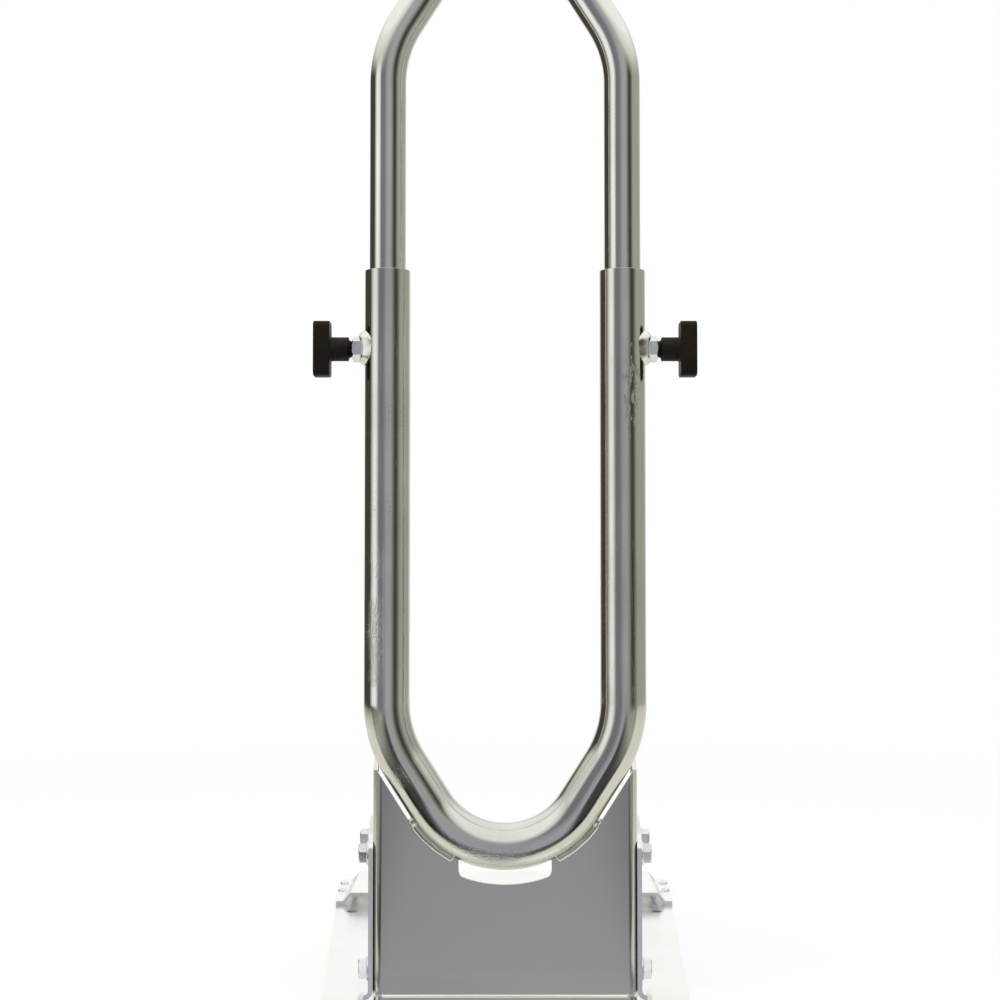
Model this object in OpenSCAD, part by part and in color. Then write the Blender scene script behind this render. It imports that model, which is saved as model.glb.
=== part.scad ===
// Floor stand that holds a bicycle by one wheel, for display in a shop.
// A folded sheet base carries a bent tube hoop, and a thinner hoop slides up and down
// in the open ends of the first. Two screws with plastic knobs clamp it at its height.
// Sizes are millimetres. +Z is up, +X is to the right from the front, and +Y is to the rear.
// The origin is on the floor under the middle of the base.

/* [Tube hoops] */
// Outside diameter of the upper tube, which slides
upper_tube_d = 16; // [14:0.5:18]
// Wall of the upper tube
upper_tube_wall = 1.5; // [1:0.1:2]
// Gap all round between the upper tube and the bore that it slides in
slide_gap = 0.5; // [0.35:0.05:0.8]
// Wall of the lower tube
lower_tube_wall = 1.5; // [1:0.1:2.2]
// Distance between the middles of the two legs
leg_spacing = 102; // [96:1:116]
// Centre line radius of the bends where the legs turn inwards
leg_bend_r = 50; // [42:1:56]
// Half of the bend's angle as a slope: its distance across
bend_across = 7; // [6:0.1:7.6]
// Half of the bend's angle as a slope: its distance along
bend_along = 24; // [22:0.1:28]
// Centre line radius of the arc that closes each hoop
hoop_arc_r = 38; // [34:1:40]
// Height of the underside of the lower hoop above the floor
hoop_clearance = 55.5; // [50:0.5:60]
// Height of the open rims of the lower tubes above the floor
rim_h = 314; // [285:1:340]
// Height of the top of the upper hoop above the floor
stand_h = 466.5; // [450:0.5:500]
// Length of the upper legs inside the lower tubes
leg_overlap = 95; // [70:1:105]

/* [Clamp screws and knobs] */
// Distance of the clamp screws below the rims
clamp_drop = 34; // [24:1:60]
// Diameter of the clamp screws
stud_d = 6; // [5:0.5:7]
// Gap all round the thread, in the nut and in the knob
thread_gap = 0.05; // [0.02:0.01:0.1]
// Gap between the screw's tip and the upper tube
tip_gap = 0.1; // [0.05:0.05:0.3]
// Gap all round the screw where it passes through the lower tube
wall_hole_gap = 0.4; // [0.2:0.1:0.8]
// Width across the flats of the welded nuts
weld_nut_af = 10; // [9:0.5:13]
// Thickness of the welded nuts
weld_nut_h = 5; // [4:0.5:7]
// Thickness of the weld under the nut
weld_under_nut = 0.2; // [0.1:0.05:0.5]
// Gap between the welded nut and the knob's hub when clamped
hub_gap = 1.7; // [1:0.1:4]
// Diameter of the knob's hub
hub_d = 10.4; // [9:0.2:13]
// Length of the knob's hub
hub_len = 8; // [6:0.2:10]
// Length of the knob's crossbar
knob_len = 24; // [20:0.5:32]
// Width of the knob's crossbar
knob_w = 11; // [10.8:0.2:14]
// Thickness of the knob's crossbar
knob_h = 7.1; // [6:0.1:9]
// Radius of the crossbar's corners
knob_corner_r = 2.5; // [1:0.25:4]
// Depth of the screw inside the knob
stud_grip = 12; // [8:0.5:13]

/* [Front plate] */
// Thickness of the base's steel sheet
sheet = 2; // [1.5:0.1:2.5]
// Inside radius of the sheet's bends
bend_r = 2; // [1:0.25:3]
// Distance of the folded edges inwards from the outside of the lower legs
plate_inset = 4; // [3:0.25:5]
// Height of the front plate
plate_h = 98; // [90:0.5:102]
// Depth of the front plate's side flanges
flange_depth = 62; // [56:1:80]
// Radius of the upper rear corners of the flanges
flange_corner_r = 8; // [2:1:14]
// Reach of the front foot in front of the hoop
front_foot = 28; // [20:1:40]
// Radius of the front foot's corners
front_foot_corner_r = 4; // [1:0.5:8]
// Width of the slits between the front foot's bend and the flanges' bends
relief_slit = 0.3; // [0.2:0.1:1]
// Inside radius of the front foot's bend
foot_bend_r = 0.8; // [0.5:0.1:1.5]
// Height of the flanges above the floor
flange_lift = 1; // [0.5:0.25:2]
// Gap between the plate's upper notch edges and the lower hoop
notch_gap = 1.5; // [0.5:0.1:2.5]
// Half the width of the slot under the hoop
slot_half_w = 20; // [14:0.5:24]
// Depth of the slot under the hoop
slot_depth = 6.3; // [4:0.1:9]
// Radius of the slot's corners
slot_corner_r = 3; // [1:0.25:3.5]
// Gap between the hoop and the plate along the welds
weld_seat = 0.05; // [0.02:0.01:0.2]
// Radius of the weld beads
bead_r = 2.2; // [1.5:0.1:3]

/* [Side plates] */
// Angle by which each side plate runs outwards to the rear
splay = 3.8; // [0:0.2:6]
// Height of the side plates at the front
side_h = 68; // [64:1:80]
// Length of the side plates' full height
side_full_len = 64; // [58:1:90]
// Length of the side plates' walls
side_wall_len = 162; // [130:1:170]
// Height of the side walls at their rear ends
side_rear_h = 22; // [12:1:40]
// Radius of the side walls' corners
side_corner_r = 5; // [1:0.5:8]
// Width of the feet
foot_w = 22; // [18:0.5:30]
// Length by which each side foot stands out in front of its wall
foot_lead = 8; // [2:1:12]
// Distance of the rear ends of the feet behind the hoop
foot_len = 240; // [225:1:280]
// Radius of the feet's outer corners
foot_corner_r = 5; // [1:0.5:9]
// Diameter of the screw holes in the feet
floor_hole_d = 5.5; // [4:0.5:7]
// Distance of the screw holes behind the hoop
floor_hole_y = 164; // [120:1:172]

/* [Side bolts] */
// Diameter of the bolts
bolt_d = 5; // [4:0.5:6]
// Gap all round the bolts in the sheets
bolt_gap = 0.25; // [0.1:0.05:0.5]
// Width across the flats of the bolt heads and nuts
bolt_af = 8; // [7:0.5:9]
// Height of the bolt heads
bolt_head_h = 3.5; // [2.5:0.25:5]
// Diameter of the washers
washer_d = 10; // [9:0.5:11]
// Thickness of the washers
washer_h = 1; // [0.6:0.1:1.6]
// Thickness of the nuts
bolt_nut_h = 4; // [3:0.25:6]
// Length of thread that stands past each nut
bolt_end = 1.5; // [0.5:0.5:4]
// Distance of the front bolts behind the bend
front_bolt_w = 11; // [9:0.5:14]
// Distance of the rear bolts behind the bend
rear_bolt_w = 47; // [30:0.5:49]
// Height of the upper bolts
top_bolt_h = 60; // [40:0.5:61]
// Height of the lower bolts
low_bolt_h = 10; // [9.6:0.1:20]

/* [Rear tie plate] */
// Depth of the tie plate from front to rear
tie_depth = 60; // [50:1:64]
// Height by which the middle of the tie plate stands above its ends
tie_rise = 4.5; // [4:0.25:8]
// Half the width of the raised middle
tie_raised_half_w = 83; // [78:0.5:85]
// Run of the joggle between the middle and each end
tie_joggle = 4; // [3:0.25:5]
// Diameter of the rivets
rivet_d = 3; // [2.4:0.2:3.2]
// Diameter of the rivet heads
rivet_head_d = 5; // [4:0.25:5]
// Height of the rivet heads
rivet_head_h = 1.2; // [0.8:0.1:2]
// Gap all round the rivets in the sheets
rivet_gap = 0.05; // [0.02:0.01:0.2]
// Distance of the rear rivets in front of the rear edge
rivet_inset = 12; // [8:0.5:16]
// Distance between the rear and front rivets
rivet_pitch = 20; // [12:1:36]

/* [Hidden] */
$fn = 64;

left = -1;
right = 1;
past = 1; // how far a cutter runs past the faces that it cuts

// Tube sizes: the lower tube is drawn to take the upper one
upper_r = upper_tube_d / 2;
lower_bore_r = upper_r + slide_gap;
lower_r = lower_bore_r + lower_tube_wall;
leg_x = leg_spacing / 2;

// Centre line of a hoop, measured from the lowest point of the lower one. A bend of
// 32.5 degrees comes from the slope of 7 in 24, whose sine and cosine are round numbers.
leg_bend_angle = 2 * atan2(bend_across, bend_along);
bend_in = leg_bend_r * (1 - cos(leg_bend_angle));
slant_len = (leg_x - bend_in - hoop_arc_r * cos(leg_bend_angle)) / sin(leg_bend_angle);
slant_start_h = hoop_arc_r * (1 - sin(leg_bend_angle));
slant_end_h = slant_start_h + slant_len * cos(leg_bend_angle);
leg_start_h = slant_end_h + leg_bend_r * sin(leg_bend_angle);
hoop_base_z = hoop_clearance + lower_r;
hoop_top_z = stand_h - upper_r;
arc_z = hoop_base_z + hoop_arc_r;
arc_outer_r = hoop_arc_r + lower_r;

// The base's sheet, in a frame whose zero is the hoop's plane
bend_out = bend_r + sheet;
plate_front = -sheet / 2;
bend_x = leg_x + lower_r - plate_inset - bend_out;
bend_y = plate_front + bend_out;
foot_bend_out = foot_bend_r + sheet;
foot_neck_w = bend_x - 1.5 * relief_slit;
base_shift = (front_foot - foot_len) / 2;
side_front_w = -bend_out + past;
foot_outer_u = foot_w;
foot_front_w = side_front_w - foot_lead;

// The clamp screws, along their own axis from the middle of the leg
clamp_z = rim_h - clamp_drop;
tip_at = upper_r + tip_gap;
nut_at = lower_r + weld_under_nut;
hub_at = nut_at + weld_nut_h + hub_gap;
head_at = hub_at + hub_len;
stud_r = stud_d / 2;

// The side bolts: places behind the bend and above the floor
bolt_places = [
    [front_bolt_w, top_bolt_h], [rear_bolt_w, top_bolt_h], [front_bolt_w, low_bolt_h]
];
tie_front_y = foot_len - tie_depth;

// Points on an arc about c from one angle to another
function arc(c, r, from, to, steps = 8) =
    [for (i = [0 : steps]) let (a = from + (to - from) * i / steps) c + r * [cos(a), sin(a)]];
// Distance behind the bend, along a side plate, of a point at depth y behind the hoop
function side_w(u, y) = (y - bend_y + (bend_out + u) * sin(splay)) / cos(splay);
// Distance from the middle of the stand of a line along a side plate, at depth y
function side_x(u, y) = bend_x + (bend_out + u) / cos(splay) + (y - bend_y) * tan(splay);

// Moves what is drawn about the hoop's plane to its place over the base
module in_hoop_plane() {
    translate([0, base_shift, 0]) children();
}

// Puts what is drawn for the right side on one side of the stand
module on(side) {
    mirror([side == left ? 1 : 0, 0, 0]) children();
}

// A side plate's own frame: X out of the plate, Y along it to the rear, Z up.
// X is zero where the side plate meets the front plate's flange.
module side_frame(side) {
    in_hoop_plane() on(side) translate([bend_x, bend_y, 0]) rotate([0, 0, -splay])
        translate([bend_out, 0, 0]) children();
}

// A clamp screw's own frame: Z out along the screw from the middle of the leg
module clamp_frame(side) {
    in_hoop_plane() on(side) translate([leg_x, 0, clamp_z]) rotate([0, 90, 0]) children();
}

module hexagon(across_flats) {
    circle(d = across_flats / cos(30), $fn = 6);
}

module ring_quarter(outer, inner) {
    difference() {
        intersection() {
            circle(outer);
            translate([-outer, -outer]) square(outer);
        }
        circle(inner);
    }
}

// Section of a hoop's tube: solid where the wall is the whole radius
module tube_section(r, wall) {
    difference() {
        circle(r);
        if (wall < r) circle(r - wall);
    }
}

// A full ring of tube about the Y axis
module tube_ring(bend, r, wall) {
    rotate([90, 0, 0]) rotate_extrude() translate([bend, 0]) tube_section(r, wall);
}

// Everything above or below the middle of a frame, for cutting a ring of tube
module half_space(above) {
    size = 8 * leg_bend_r;
    translate([-size / 2, -size / 2, above ? 0 : -size]) cube(size);
}

// The arc that closes a hoop, about the arc's centre, up to where the slants start
module hoop_arc(r, wall) {
    difference() {
        tube_ring(hoop_arc_r, r, wall);
        for (side = [left, right]) on(side) rotate([0, leg_bend_angle, 0]) half_space(true);
    }
}

// One side of a hoop, about the arc's centre: a slanted length, a bend and a straight leg
module hoop_side(r, wall, leg_len) {
    rotate([0, leg_bend_angle, 0]) {
        translate([hoop_arc_r, 0, 0]) linear_extrude(slant_len) tube_section(r, wall);
        translate([hoop_arc_r - leg_bend_r, 0, slant_len]) {
            difference() {
                tube_ring(leg_bend_r, r, wall);
                half_space(false);
                rotate([0, -leg_bend_angle, 0]) half_space(true);
            }
            rotate([0, -leg_bend_angle, 0]) translate([leg_bend_r, 0, 0])
                linear_extrude(leg_len) tube_section(r, wall);
        }
    }
}

// A hoop's tube, from its closed end up to legs of the given height.
// Zero is the lowest point of the centre line.
module hoop_tube(r, wall, leg_top) {
    translate([0, 0, hoop_arc_r]) {
        for (side = [left, right]) on(side) hoop_side(r, wall, leg_top - leg_start_h);
        hoop_arc(r, wall);
    }
}

// Opening in the front plate, drawn about the centre of the hoop's arc: the plate meets
// the arc, stands off the slanted legs and leaves a slot under the hoop
module notch_outline() {
    tangent = [cos(leg_bend_angle), -sin(leg_bend_angle)] * (arc_outer_r + notch_gap);
    reach = [sin(leg_bend_angle), cos(leg_bend_angle)] * plate_h;
    slot_r = arc_outer_r + slot_depth;
    corner_x = slot_half_w - slot_corner_r;
    corner_y = -sqrt(pow(slot_r - slot_corner_r, 2) - pow(corner_x, 2));
    circle(arc_outer_r + weld_seat);
    polygon([
        [0, 0], tangent, tangent + reach,
        [-tangent.x - reach.x, tangent.y + reach.y], [-tangent.x, tangent.y]
    ]);
    intersection() {
        circle(slot_r);
        translate([-corner_x, -slot_r]) square([2 * corner_x, slot_r]);
    }
    for (x = [-corner_x, corner_x]) translate([x, corner_y]) {
        circle(slot_corner_r);
        translate([-slot_corner_r, 0]) square([2 * slot_corner_r, -corner_y]);
    }
}

// Round holes through a side plate and the flange behind it
module bolt_holes() {
    for (place = bolt_places) translate([0, place.x, place.y]) rotate([0, 90, 0])
        cylinder(r = bolt_d / 2 + bolt_gap, h = 4 * sheet, center = true);
}

// The front plate from above: its face and the two splayed flanges, with rounded bends
module plate_section() {
    c = [bend_x, bend_y];
    along = [sin(splay), cos(splay)] * flange_depth;
    outer = arc(c, bend_out, -90, -splay);
    inner = arc(c, bend_r, -splay, -90);
    half = concat(outer, [outer[len(outer) - 1] + along, inner[0] + along], inner);
    polygon(concat(half, [for (i = [len(half) - 1 : -1 : 0]) [-half[i].x, half[i].y]]));
}

// The face ends above the foot's bend, and a slit on each side parts it from the flange
module plate_reliefs() {
    translate([-foot_neck_w, -bend_out, 0])
        cube([2 * foot_neck_w, 2 * bend_out, foot_bend_out]);
    for (side = [left, right]) on(side) translate([foot_neck_w, -bend_out, 0])
        cube([relief_slit, 2 * bend_out, foot_bend_out + relief_slit]);
}

// Rounds the upper rear corner of a flange
module flange_corner() {
    r = flange_corner_r;
    translate([-sheet - past, flange_depth - r, plate_h - r]) rotate([90, 0, 90])
        linear_extrude(sheet + 2 * past) difference() {
            square(r + past);
            circle(r);
        }
}

module plate_foot() {
    half_w = bend_x + bend_r + sheet / 2;
    tip = -front_foot;
    root = plate_front + sheet - foot_bend_out;
    wide_y = root - relief_slit;
    r = front_foot_corner_r;
    translate([-foot_neck_w, root, foot_bend_out]) rotate([90, 0, 90])
        linear_extrude(2 * foot_neck_w) mirror([1, 0])
            ring_quarter(foot_bend_out, foot_bend_r);
    linear_extrude(sheet) polygon(concat(
        [[-half_w, wide_y], [-foot_neck_w, wide_y], [-foot_neck_w, root]],
        [[foot_neck_w, root], [foot_neck_w, wide_y], [half_w, wide_y]],
        arc([half_w - r, tip + r], r, 0, -90),
        arc([-half_w + r, tip + r], r, -90, -180)
    ));
}

module front_plate() {
    color("darkgray") difference() {
        in_hoop_plane() {
            difference() {
                translate([0, 0, flange_lift]) linear_extrude(plate_h - flange_lift)
                    plate_section();
                plate_reliefs();
                translate([0, sheet, arc_z]) rotate([90, 0, 0]) linear_extrude(2 * sheet)
                    notch_outline();
            }
            plate_foot();
        }
        for (side = [left, right]) side_frame(side) {
            bolt_holes();
            flange_corner();
        }
    }
}

// Wall of a side plate, standing up at the inner edge of its foot
module side_wall() {
    r = side_corner_r;
    rotate([90, 0, 90]) linear_extrude(sheet) polygon(concat(
        [[side_front_w, bend_out], [side_wall_len, bend_out]],
        arc([side_wall_len - r, side_rear_h - r], r, 0, 90),
        [[side_full_len, side_h]],
        arc([side_front_w + r, side_h - r], r, 90, 180)
    ));
}

module side_foot() {
    r = foot_corner_r;
    corner_u = foot_outer_u - r;
    linear_extrude(sheet) polygon(concat(
        [[bend_out, foot_front_w], [foot_outer_u, foot_front_w]],
        arc([corner_u, side_w(corner_u, foot_len - r)], r, 0, 90 + splay),
        [[bend_out, side_w(bend_out, foot_len)]]
    ));
}

module side_plate(side) {
    foot_middle = (bend_out + foot_outer_u) / 2;
    color("gainsboro") difference() {
        side_frame(side) {
            side_wall();
            side_foot();
            translate([bend_out, side_wall_len, bend_out]) rotate([90, 0, 0])
                linear_extrude(side_wall_len - side_front_w) ring_quarter(bend_out, bend_r);
        }
        side_frame(side) {
            bolt_holes();
            translate([foot_middle, side_w(foot_middle, floor_hole_y), -past])
                cylinder(d = floor_hole_d, h = sheet + 2 * past);
        }
        rivet_places(side) translate([0, 0, -past])
            cylinder(r = rivet_d / 2 + rivet_gap, h = sheet + 2 * past);
    }
}

module left_side_plate() {
    side_plate(left);
}

module right_side_plate() {
    side_plate(right);
}

// Each rivet stands in the middle of the tie plate's end strip
module rivet_places(side) {
    strip_x = tie_raised_half_w + tie_joggle;
    in_hoop_plane() on(side) for (inset = [rivet_inset, rivet_inset + rivet_pitch])
        let (y = foot_len - inset)
        translate([(strip_x + side_x(foot_outer_u, y)) / 2, y, 0]) children();
}

// The joggled sheet that ties the two feet together, seen from the front
module tie_profile() {
    low = sheet;
    high = sheet + tie_rise;
    strip_x = tie_raised_half_w + tie_joggle;
    far = strip_x + foot_w;
    under = [
        [-far, low], [-strip_x, low], [-tie_raised_half_w, high],
        [tie_raised_half_w, high], [strip_x, low], [far, low]
    ];
    over = [for (i = [len(under) - 1 : -1 : 0]) under[i] + [0, sheet]];
    polygon(concat(under, over));
}

// The tie plate from above: its ends follow the feet
module tie_outline() {
    r = foot_corner_r;
    corner = [side_x(foot_outer_u, foot_len - r) - r / cos(splay), foot_len - r];
    front_x = side_x(foot_outer_u, tie_front_y);
    right_edge = concat([[front_x, tie_front_y]], arc(corner, r, -splay, 90));
    left_edge = [for (i = [len(right_edge) - 1 : -1 : 0]) [-right_edge[i].x, right_edge[i].y]];
    polygon(concat(right_edge, left_edge));
}

module rear_tie_plate() {
    color("gainsboro") difference() {
        in_hoop_plane() intersection() {
            linear_extrude(tie_rise + 3 * sheet) tie_outline();
            translate([0, foot_len + past, 0]) rotate([90, 0, 0])
                linear_extrude(tie_depth + 2 * past) tie_profile();
        }
        for (side = [left, right]) rivet_places(side)
            cylinder(r = rivet_d / 2 + rivet_gap, h = 3 * sheet);
    }
}

module lower_hoop() {
    color("silver") difference() {
        in_hoop_plane() translate([0, 0, hoop_base_z])
            hoop_tube(lower_r, lower_tube_wall, rim_h - hoop_base_z);
        for (side = [left, right]) clamp_frame(side)
            cylinder(r = stud_r + wall_hole_gap, h = lower_r + past);
    }
}

module upper_hoop() {
    color("whitesmoke") in_hoop_plane() translate([0, 0, hoop_top_z]) mirror([0, 0, 1])
        hoop_tube(upper_r, upper_tube_wall, hoop_top_z - rim_h + leg_overlap);
}

// The hoop is welded into the notch, front and rear, on both sides of the slot
module hoop_weld_beads() {
    slot_clear_angle = 2;
    bead_lift = bead_r / 5;
    start_angle = asin(slot_half_w / arc_outer_r) + slot_clear_angle;
    bead_angle = 90 - leg_bend_angle - start_angle;
    color("darkgray") in_hoop_plane() difference() {
        translate([0, 0, arc_z]) for (side = [left, right], face = [0, 1]) on(side)
            mirror([0, face, 0]) rotate([90, 0, 0]) rotate([0, 0, start_angle - 90])
            rotate_extrude(angle = bead_angle)
            translate([arc_outer_r + bead_lift, sheet / 2 + bead_lift]) circle(bead_r);
        translate([0, 0, arc_z]) hoop_arc(lower_r, lower_r);
        translate([-leg_spacing, plate_front, 0]) cube([2 * leg_spacing, sheet, plate_h]);
    }
}

// The weld that fills the space between each nut and the round of its tube
module nut_weld_beads() {
    weld_root = lower_r / 2;
    weld_top = nut_at + 0.6 * weld_nut_h;
    color("silver") difference() {
        for (side = [left, right]) clamp_frame(side) difference() {
            translate([0, 0, weld_root]) cylinder(
                r1 = weld_nut_af, r2 = 0.6 * weld_nut_af, h = weld_top - weld_root
            );
            translate([0, 0, nut_at]) linear_extrude(weld_nut_h) hexagon(weld_nut_af);
            cylinder(r = stud_r + wall_hole_gap, h = weld_top + past);
        }
        in_hoop_plane() for (side = [left, right]) on(side)
            translate([leg_x, 0, clamp_z - leg_spacing / 2])
            cylinder(r = lower_r, h = leg_spacing);
    }
}

module weld_nut(side) {
    color("silver") clamp_frame(side) translate([0, 0, nut_at]) difference() {
        linear_extrude(weld_nut_h) hexagon(weld_nut_af);
        translate([0, 0, -past]) cylinder(r = stud_r + thread_gap, h = weld_nut_h + 2 * past);
    }
}

module left_weld_nut() {
    weld_nut(left);
}

module right_weld_nut() {
    weld_nut(right);
}

module clamp_screw(side) {
    color("lightgray") clamp_frame(side) translate([0, 0, tip_at])
        cylinder(r = stud_r, h = hub_at + stud_grip - tip_at);
}

module left_clamp_screw() {
    clamp_screw(left);
}

module right_clamp_screw() {
    clamp_screw(right);
}

// A knob's crossbar seen along the screw, upright as the stand is drawn
module crossbar_outline() {
    r = knob_corner_r;
    c = [knob_len / 2 - r, knob_w / 2 - r];
    polygon(concat(
        arc([c.x, c.y], r, 0, 90), arc([-c.x, c.y], r, 90, 180),
        arc([-c.x, -c.y], r, 180, 270), arc([c.x, -c.y], r, 270, 360)
    ));
}

module knob(side) {
    color("dimgray") clamp_frame(side) difference() {
        union() {
            translate([0, 0, hub_at]) cylinder(d = hub_d, h = hub_len);
            translate([0, 0, head_at]) linear_extrude(knob_h) crossbar_outline();
        }
        translate([0, 0, hub_at - past])
            cylinder(r = stud_r + thread_gap, h = stud_grip + thread_gap + past);
    }
}

module left_knob() {
    knob(left);
}

module right_knob() {
    knob(right);
}

// A bolt's own frame: Z out of the side plate's outer face
module bolt_frame(side) {
    side_frame(side) for (place = bolt_places)
        translate([sheet, place.x, place.y]) rotate([0, 90, 0]) children();
}

module bolts(side) {
    shank = washer_h + 2 * sheet + bolt_nut_h + bolt_end;
    color("silver") bolt_frame(side) {
        translate([0, 0, washer_h]) linear_extrude(bolt_head_h) hexagon(bolt_af);
        translate([0, 0, washer_h - shank]) cylinder(d = bolt_d, h = shank);
    }
}

module left_bolts() {
    bolts(left);
}

module right_bolts() {
    bolts(right);
}

module washers(side) {
    color("silver") bolt_frame(side) difference() {
        cylinder(d = washer_d, h = washer_h);
        translate([0, 0, -past]) cylinder(r = bolt_d / 2 + bolt_gap, h = washer_h + 2 * past);
    }
}

module left_washers() {
    washers(left);
}

module right_washers() {
    washers(right);
}

module bolt_nuts(side) {
    color("silver") bolt_frame(side) translate([0, 0, -2 * sheet - bolt_nut_h]) difference() {
        linear_extrude(bolt_nut_h) hexagon(bolt_af);
        translate([0, 0, -past]) cylinder(r = bolt_d / 2 + thread_gap, h = bolt_nut_h + 2 * past);
    }
}

module left_bolt_nuts() {
    bolt_nuts(left);
}

module right_bolt_nuts() {
    bolt_nuts(right);
}

// Each rivet's shank ends just inside the foot, clear of the floor
module tie_rivets() {
    shank_end = sheet / 10;
    color("silver") for (side = [left, right]) rivet_places(side) {
        translate([0, 0, shank_end]) cylinder(d = rivet_d, h = 2 * sheet - shank_end);
        translate([0, 0, 2 * sheet]) cylinder(d = rivet_head_d, h = rivet_head_h);
    }
}

front_plate();
left_side_plate();
right_side_plate();
rear_tie_plate();
lower_hoop();
upper_hoop();
hoop_weld_beads();
nut_weld_beads();
left_weld_nut();
right_weld_nut();
left_clamp_screw();
right_clamp_screw();
left_knob();
right_knob();
left_bolts();
right_bolts();
left_washers();
right_washers();
left_bolt_nuts();
right_bolt_nuts();
tie_rivets();
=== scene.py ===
import math

import bmesh
import bpy
from mathutils import Matrix, Vector, noise


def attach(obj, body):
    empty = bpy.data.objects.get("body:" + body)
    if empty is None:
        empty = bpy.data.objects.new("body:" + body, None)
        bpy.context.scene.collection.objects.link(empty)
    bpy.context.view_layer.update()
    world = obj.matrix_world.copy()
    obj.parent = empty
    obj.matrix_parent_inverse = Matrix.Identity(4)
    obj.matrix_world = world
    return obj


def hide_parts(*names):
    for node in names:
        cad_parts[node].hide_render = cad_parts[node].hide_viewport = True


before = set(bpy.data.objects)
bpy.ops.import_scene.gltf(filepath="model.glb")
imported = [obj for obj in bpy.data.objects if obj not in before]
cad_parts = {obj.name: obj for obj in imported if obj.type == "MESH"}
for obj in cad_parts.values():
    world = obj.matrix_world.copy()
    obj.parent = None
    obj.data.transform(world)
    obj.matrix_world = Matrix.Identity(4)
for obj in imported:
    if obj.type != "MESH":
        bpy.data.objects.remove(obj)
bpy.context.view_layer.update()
scene = bpy.context.scene


# Front plate
# One laser-cut blank of 2 mm steel sheet, folded into a face, two side flanges and a toe
# along the floor. It is satin zinc plated; its edges are brighter, and the top of its toe is painted near
# white as a painted highlight.
sheet = 2.0
eased_edge = 0.3
to_metres = Matrix.Scale(0.001, 4)


def put(tree, kind, sockets=None, **settings):
    """Adds one shader node; a socket given as a value is wired, anything else is typed in."""
    node = tree.nodes.new("ShaderNode" + kind)
    for setting, value in settings.items():
        setattr(node, setting, value)
    for socket, value in (sockets or {}).items():
        if isinstance(value, bpy.types.NodeSocket):
            tree.links.new(value, node.inputs[socket])
        else:
            node.inputs[socket].default_value = value
    return node


def effect_group(name, inputs, outputs):
    """An empty node group with named inputs and outputs, and its two end nodes."""
    group = bpy.data.node_groups.new(name, "ShaderNodeTree")
    for label, value in inputs:
        kind = "NodeSocketVector" if value is None else "NodeSocketFloat"
        socket = group.interface.new_socket(label, in_out="INPUT", socket_type=kind)
        if value is not None:
            socket.default_value = value
    for label in outputs:
        group.interface.new_socket(label, in_out="OUTPUT", socket_type="NodeSocketFloat")
    return group, group.nodes.new("NodeGroupInput"), group.nodes.new("NodeGroupOutput")


def drawn_grain_group():
    """Fine lines left by rolling or drawing the steel, running along the vector's Z."""
    group, given, result = effect_group(
        "Drawn grain", [("Vector", None), ("Lines per metre", 3000.0), ("Length", 0.02)], ["Grain"]
    )
    scale = put(group, "CombineXYZ", {0: given.outputs[1], 1: given.outputs[1]})
    along = put(group, "Math", {0: given.outputs[1], 1: given.outputs[2]}, operation="MULTIPLY")
    group.links.new(along.outputs[0], scale.inputs[2])
    placed = put(
        group, "VectorMath", {0: given.outputs[0], 1: scale.outputs[0]}, operation="MULTIPLY"
    )
    lines = put(
        group, "TexNoise", {"Vector": placed.outputs[0], "Scale": 1.0, "Detail": 3.0, "Roughness": 0.6}
    )
    group.links.new(lines.outputs["Fac"], result.inputs[0])
    return group


def cloud_group():
    """Soft blotches of plating, from 0 to 1, at two sizes."""
    group, given, result = effect_group("Plating clouds", [("Vector", None), ("Scale", 12.0)], ["Cloud"])
    blotches = put(
        group, "TexNoise",
        {"Vector": given.outputs[0], "Scale": given.outputs[1], "Detail": 3.0, "Roughness": 0.45},
    )
    spread = put(
        group, "MapRange", {0: blotches.outputs["Fac"], 1: 0.3, 2: 0.7}, interpolation_type="SMOOTHSTEP"
    )
    group.links.new(spread.outputs[0], result.inputs[0])
    return group


def pits_group():
    """Pinholes and specks of the plating: 1 in a speck, 0 elsewhere, gathered in patches."""
    group, given, result = effect_group(
        "Plating specks", [("Vector", None), ("Scale", 900.0), ("Size", 0.22), ("Patches", 60.0)],
        ["Speck"],
    )
    cells = put(group, "TexVoronoi", {"Vector": given.outputs[0], "Scale": given.outputs[1]})
    patches = put(
        group, "TexNoise", {"Vector": given.outputs[0], "Scale": given.outputs[3], "Detail": 2.0}
    )
    size = put(group, "MapRange", {0: patches.outputs["Fac"], 1: 0.42, 2: 0.68, 3: 0.0})
    group.links.new(given.outputs[2], size.inputs[4])
    inside = put(
        group, "Math", {0: size.outputs[0], 1: cells.outputs["Distance"]}, operation="SUBTRACT"
    )
    speck = put(group, "MapRange", {0: inside.outputs[0], 1: 0.0, 2: 0.08})
    group.links.new(speck.outputs[0], result.inputs[0])
    return group


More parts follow.
